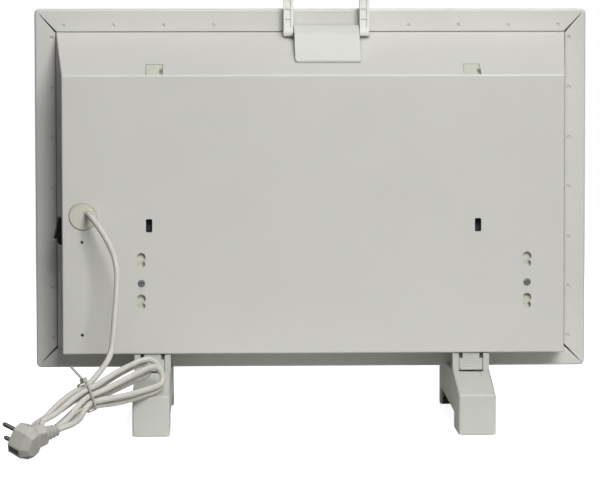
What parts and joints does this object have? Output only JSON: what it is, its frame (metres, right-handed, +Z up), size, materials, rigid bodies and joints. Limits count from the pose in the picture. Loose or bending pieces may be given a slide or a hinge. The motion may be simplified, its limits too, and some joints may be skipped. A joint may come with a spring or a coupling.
{
  "type": "convector heater",
  "caption": "Slim electric convector heater: a shallow steel front panel with a folded rear cover, side switch and dial, fold-down handle, clip-on feet and a tied mains lead.",
  "frame": {"origin": "on the floor, under the middle of the panel's width and of the feet's length", "axes": "+Z up, +Y towards the back of the heater, +X to the right of someone who faces its front"},
  "size_m": [0.6254, 0.4291, 0.5138],
  "materials": {
    "white_paint": "satin powder coat",
    "white_plastic": "fine satin",
    "cream_plastic": "matte",
    "dark_plastic": "matte",
    "black_plastic": "satin",
    "grey_plastic": "matte",
    "grey_rubber": "matte",
    "grey_cord": "smooth flexible plastic",
    "nylon": "smooth",
    "zinc_steel": "zinc plate",
    "aluminium": "mill finish",
    "ceramic": "glazed ceramic",
    "wire_silicone": "smooth"
  },
  "bodies": {
    "heater": {"air_guide": "aluminium", "back_cover": "white_paint", "cable_gland": "cream_plastic", "cord_clamp": "grey_plastic", "cord_hank": "grey_cord", "cord_inside_end": "grey_cord", "cord_lead": "grey_cord", "cord_tie": "nylon", "cup_screw_left": "zinc_steel", "cup_screw_right": "zinc_steel", "dial_cup": "white_plastic", "element_bracket_left": "zinc_steel", "element_bracket_right": "zinc_steel", "element_insulator_left": "ceramic", "element_insulator_right": "ceramic", "foot_left": "white_plastic", "foot_pad_left_front": "grey_rubber", "foot_pad_left_rear": "grey_rubber", "foot_pad_right_front": "grey_rubber", "foot_pad_right_rear": "grey_rubber", "foot_right": "white_plastic", "front_panel": "white_paint", "handle_bracket": "white_plastic", "handle_pin_left": "zinc_steel", "handle_pin_right": "zinc_steel", "heating_element": "aluminium", "keyhole_cup_left": "cream_plastic", "keyhole_cup_right": "cream_plastic", "outlet_grille": "dark_plastic", "plug_body": "grey_cord", "plug_earth_clip_far": "zinc_steel", "plug_earth_clip_near": "zinc_steel", "plug_pin_lower": "zinc_steel", "plug_pin_upper": "zinc_steel", "switch_housing": "black_plastic", "switch_tab_1": "zinc_steel", "switch_tab_2": "zinc_steel", "switch_tab_3": "zinc_steel", "terminal_block": "grey_plastic", "thermal_cutout": "black_plastic", "thermostat_body": "grey_plastic", "wall_catch_left": "cream_plastic", "wall_catch_right": "cream_plastic", "wire_across": "wire_silicone", "wire_to_cutout": "wire_silicone", "wire_to_element": "wire_silicone", "wire_to_switch": "wire_silicone", "wire_to_thermostat": "wire_silicone"},
    "handle": {"carry_handle": "white_plastic"},
    "rocker": {"switch_rocker": "black_plastic"},
    "dial": {"thermostat_knob": "white_plastic", "thermostat_spindle": "zinc_steel"},
    "latch_right": {"foot_latch_right": "white_plastic"},
    "latch_left": {"foot_latch_left": "white_plastic"}
  },
  "joints": [
    {"name": "handle_fold", "type": "hinge", "parent": "heater", "child": "handle", "pos_m": [-0.0167, -0.0205, 0.4272], "axis": [-1, 0, 0], "range_deg": [0, 117]},
    {"name": "switch_rock", "type": "hinge", "parent": "heater", "child": "rocker", "pos_m": [0.27428, 0.033, 0.2118], "axis": [-0.1181, 0.993, 0], "range_deg": [0, 24]},
    {"name": "dial_turn", "type": "hinge", "parent": "heater", "child": "dial", "pos_m": [0.27675, 0.0122, 0.1436], "axis": [-0.993, -0.1181, 0], "range_deg": [0, 270]},
    {"name": "foot_latch_right_press", "type": "hinge", "parent": "heater", "child": "latch_right", "pos_m": [0.1747, 0.0522, 0.0688], "axis": [-1, 0, 0], "range_deg": [0, 5], "stiffness_Nm_per_rad": 0.05},
    {"name": "foot_latch_left_press", "type": "hinge", "parent": "heater", "child": "latch_left", "pos_m": [-0.1707, 0.0522, 0.0688], "axis": [-1, 0, 0], "range_deg": [0, 5], "stiffness_Nm_per_rad": 0.05}
  ]
}
